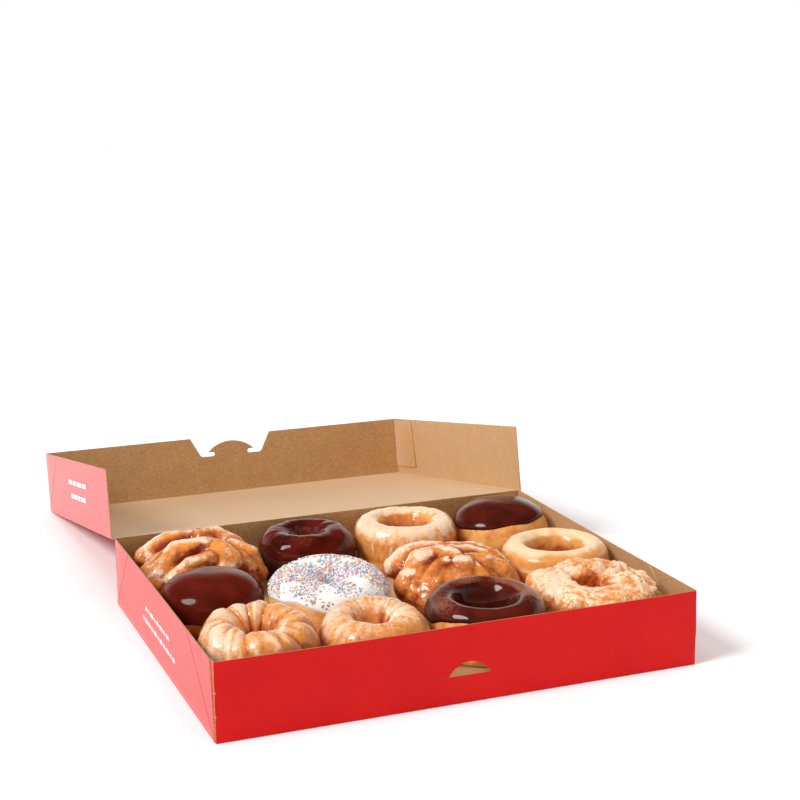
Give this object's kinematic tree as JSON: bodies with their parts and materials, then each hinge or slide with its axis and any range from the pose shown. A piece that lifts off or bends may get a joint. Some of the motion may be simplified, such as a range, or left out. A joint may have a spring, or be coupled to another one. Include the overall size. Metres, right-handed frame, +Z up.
{
  "type": "box of doughnuts",
  "caption": "Shallow red paperboard carton with its hinged lid laid open behind it, holding assorted iced, glazed and filled doughnuts in rows.",
  "frame": {"origin": "middle of the tray's underside, where it rests", "axes": "+X to the right along the tray's front wall, +Y back towards the hinge and over the open lid, +Z up"},
  "size_m": [0.385, 0.6404, 0.1175],
  "materials": {
    "red_and_kraft_board": "red printed paperboard outside, bare speckled kraft inside",
    "kraft_board": "bare speckled kraft board",
    "glazed_dough": "fried dough under thin sugar glaze",
    "golden_dough": "fried dough",
    "craggy_dough": "craggy glazed cake dough",
    "chocolate_dough": "dark cake dough",
    "chocolate_icing": "glossy chocolate icing",
    "maple_icing": "smooth tan glaze",
    "white_icing": "white icing"
  },
  "bodies": {
    "tray": {"tray": "red_and_kraft_board", "pad": "kraft_board", "cruller": "glazed_dough", "pinched_ring": "glazed_dough", "dipped_ring": "golden_dough", "dipped_ring_icing": "chocolate_icing", "old_fashioned": "craggy_dough", "filled_bun_middle": "golden_dough", "filled_bun_middle_icing": "chocolate_icing", "sprinkled_ring": "golden_dough", "sprinkled_ring_icing": "white_icing", "middle_fritter": "glazed_dough", "maple_ring": "maple_icing", "back_fritter": "glazed_dough", "cake_ring": "chocolate_dough", "cake_ring_icing": "chocolate_icing", "tall_ring": "glazed_dough", "filled_bun_back": "golden_dough", "filled_bun_back_icing": "chocolate_icing"},
    "lid": {"lid": "red_and_kraft_board"}
  },
  "joints": [
    {"name": "lid_hinge", "type": "hinge", "parent": "tray", "child": "lid", "pos_m": [0, 0.158, 0.0595], "axis": [1, 0, 0], "range_deg": [0, 173]}
  ]
}
